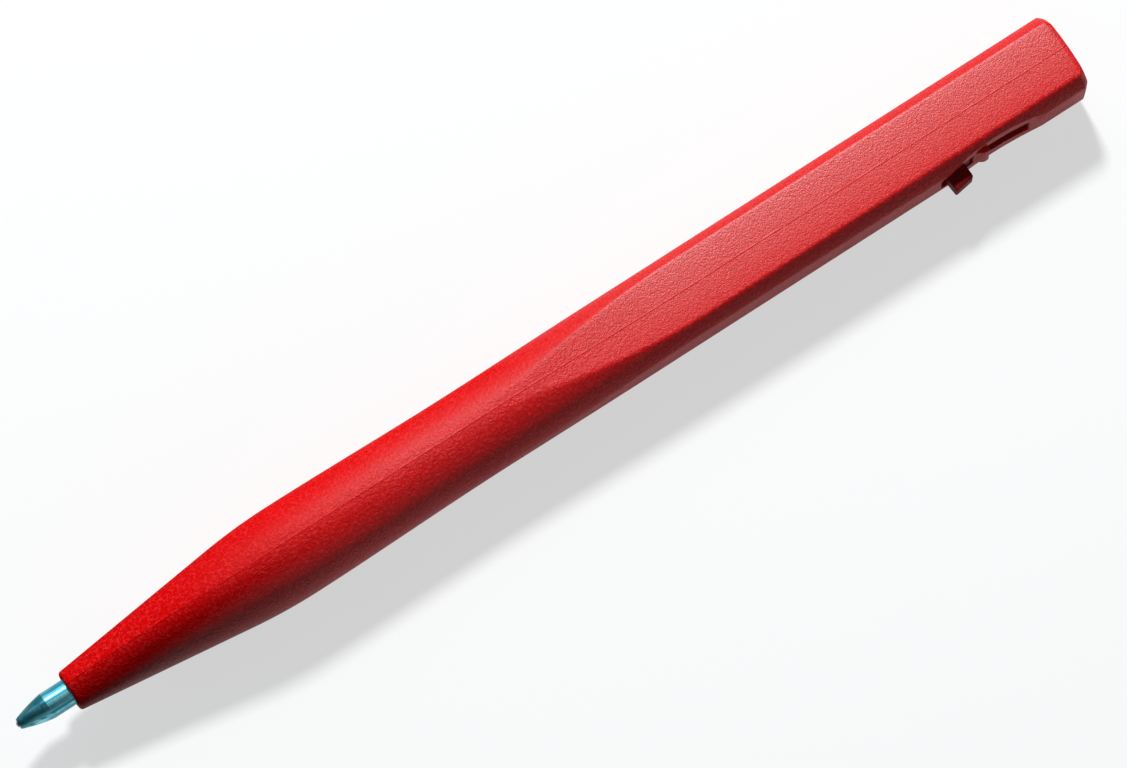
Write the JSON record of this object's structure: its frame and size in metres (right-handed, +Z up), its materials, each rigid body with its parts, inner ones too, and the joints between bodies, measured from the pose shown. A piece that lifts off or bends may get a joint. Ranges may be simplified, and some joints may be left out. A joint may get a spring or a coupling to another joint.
{
  "type": "retractable ballpoint pen",
  "caption": "Retractable ballpoint pen with a one-piece moulded barrel, flattened rear half, side trigger in a shallow thumb scoop and a sprung refill with a metal point.",
  "frame": {"origin": "middle of the pen's box, on the surface that it lies on", "axes": "+X along the pen from the writing point to the rear end, -Y towards the trigger, +Z up out of a wide flat"},
  "size_m": [0.1362, 0.0118, 0.0107],
  "materials": {
    "barrel_red": "satin moulded",
    "inner_red": "plain moulded",
    "spring_steel": "drawn wire",
    "tube_white": "extruded, natural white",
    "ink_blue": "liquid",
    "point_metal": "turned",
    "ball_carbide": "polished"
  },
  "bodies": {
    "barrel": {"barrel": "barrel_red", "end_plug": "barrel_red", "return_spring": "spring_steel"},
    "refill_carriage": {"carriage": "inner_red", "refill_tube": "tube_white", "ink": "ink_blue", "refill_point": "point_metal"},
    "trigger": {"trigger": "barrel_red"},
    "ball": {"point_ball": "ball_carbide"}
  },
  "joints": [
    {"name": "refill_slide", "type": "slide", "parent": "barrel", "child": "refill_carriage", "axis": [1, 0, 0], "range_m": [0, 0.0072], "deforming": ["return_spring", "trigger"]},
    {"name": "trigger_press", "type": "hinge", "parent": "refill_carriage", "child": "trigger", "pos_m": [0.03045, -0.00063, 0.00536], "axis": [0, 0, 1], "range_deg": [0, 9.5], "stiffness_Nm_per_rad": 0.67},
    {"name": "ball_roll", "type": "hinge", "parent": "refill_carriage", "child": "ball", "pos_m": [-0.06765, 0.00057, 0.00536], "axis": [0, 0, 1], "continuous": true}
  ]
}
